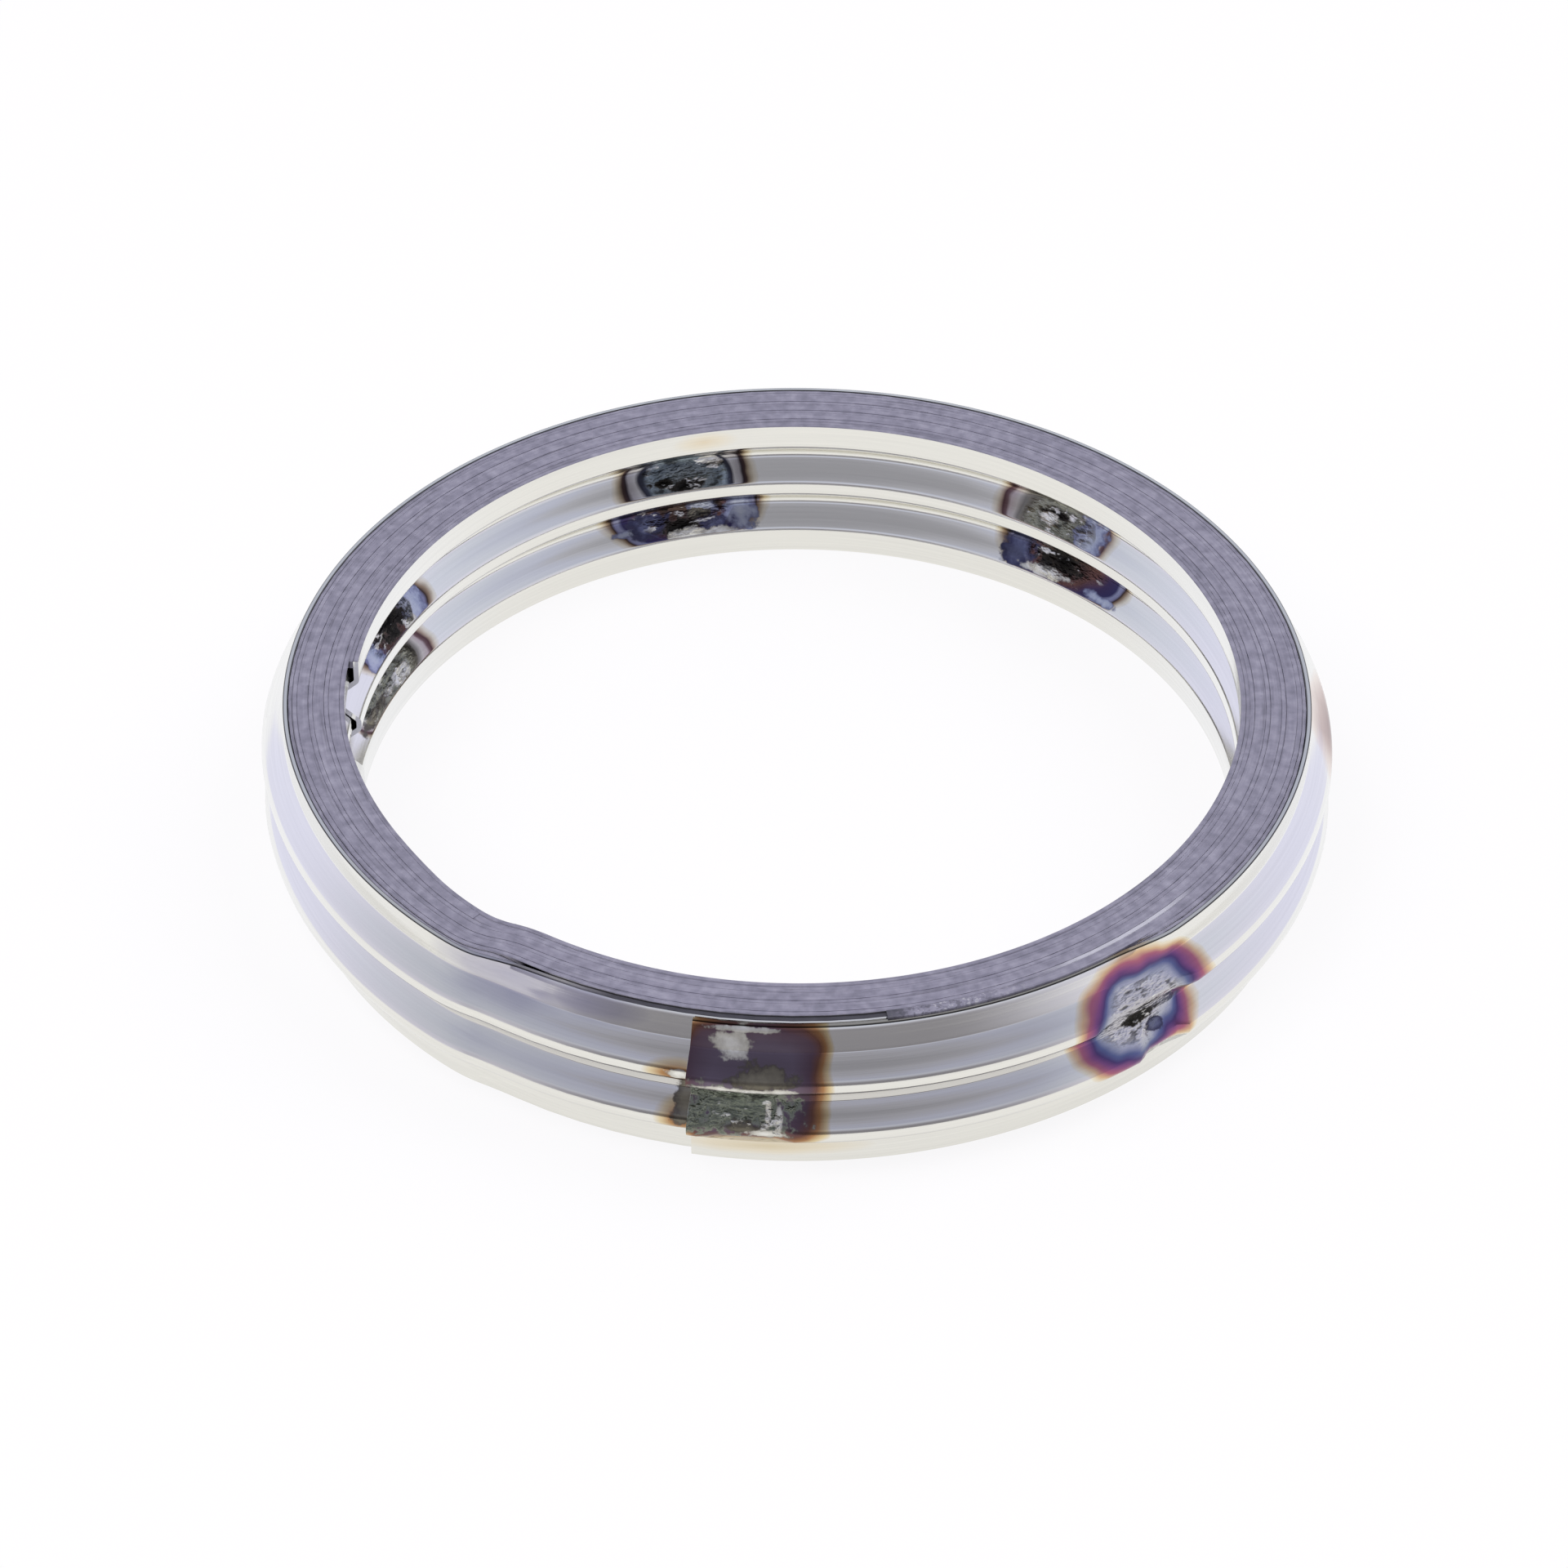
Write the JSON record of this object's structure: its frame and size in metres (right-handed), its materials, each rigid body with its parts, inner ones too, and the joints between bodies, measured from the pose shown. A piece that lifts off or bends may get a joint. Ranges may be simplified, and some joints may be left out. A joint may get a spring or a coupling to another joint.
{
  "type": "exhaust gasket",
  "caption": "Spiral-wound ring gasket of W-section stainless strip with a soft graphite tape between its middle turns, spot-welded and heat-tinted.",
  "frame": {"origin": "on the ring's axis, in the plane of the lower sealing face", "axes": "+Z along the ring's axis, up out of the upper sealing face; +X to the right and +Y away from the viewer as the ring lies in the picture"},
  "size_m": [0.0412, 0.0412, 0.0063],
  "materials": {
    "stainless_strip": "bright rolled strip with heat-tinted weld spots",
    "graphite_tape": "soft pressed graphite tape, matt with a faint sheen"
  },
  "bodies": {
    "root": {"steel_strip": "stainless_strip", "filler_tape": "graphite_tape"}
  },
  "joints": []
}
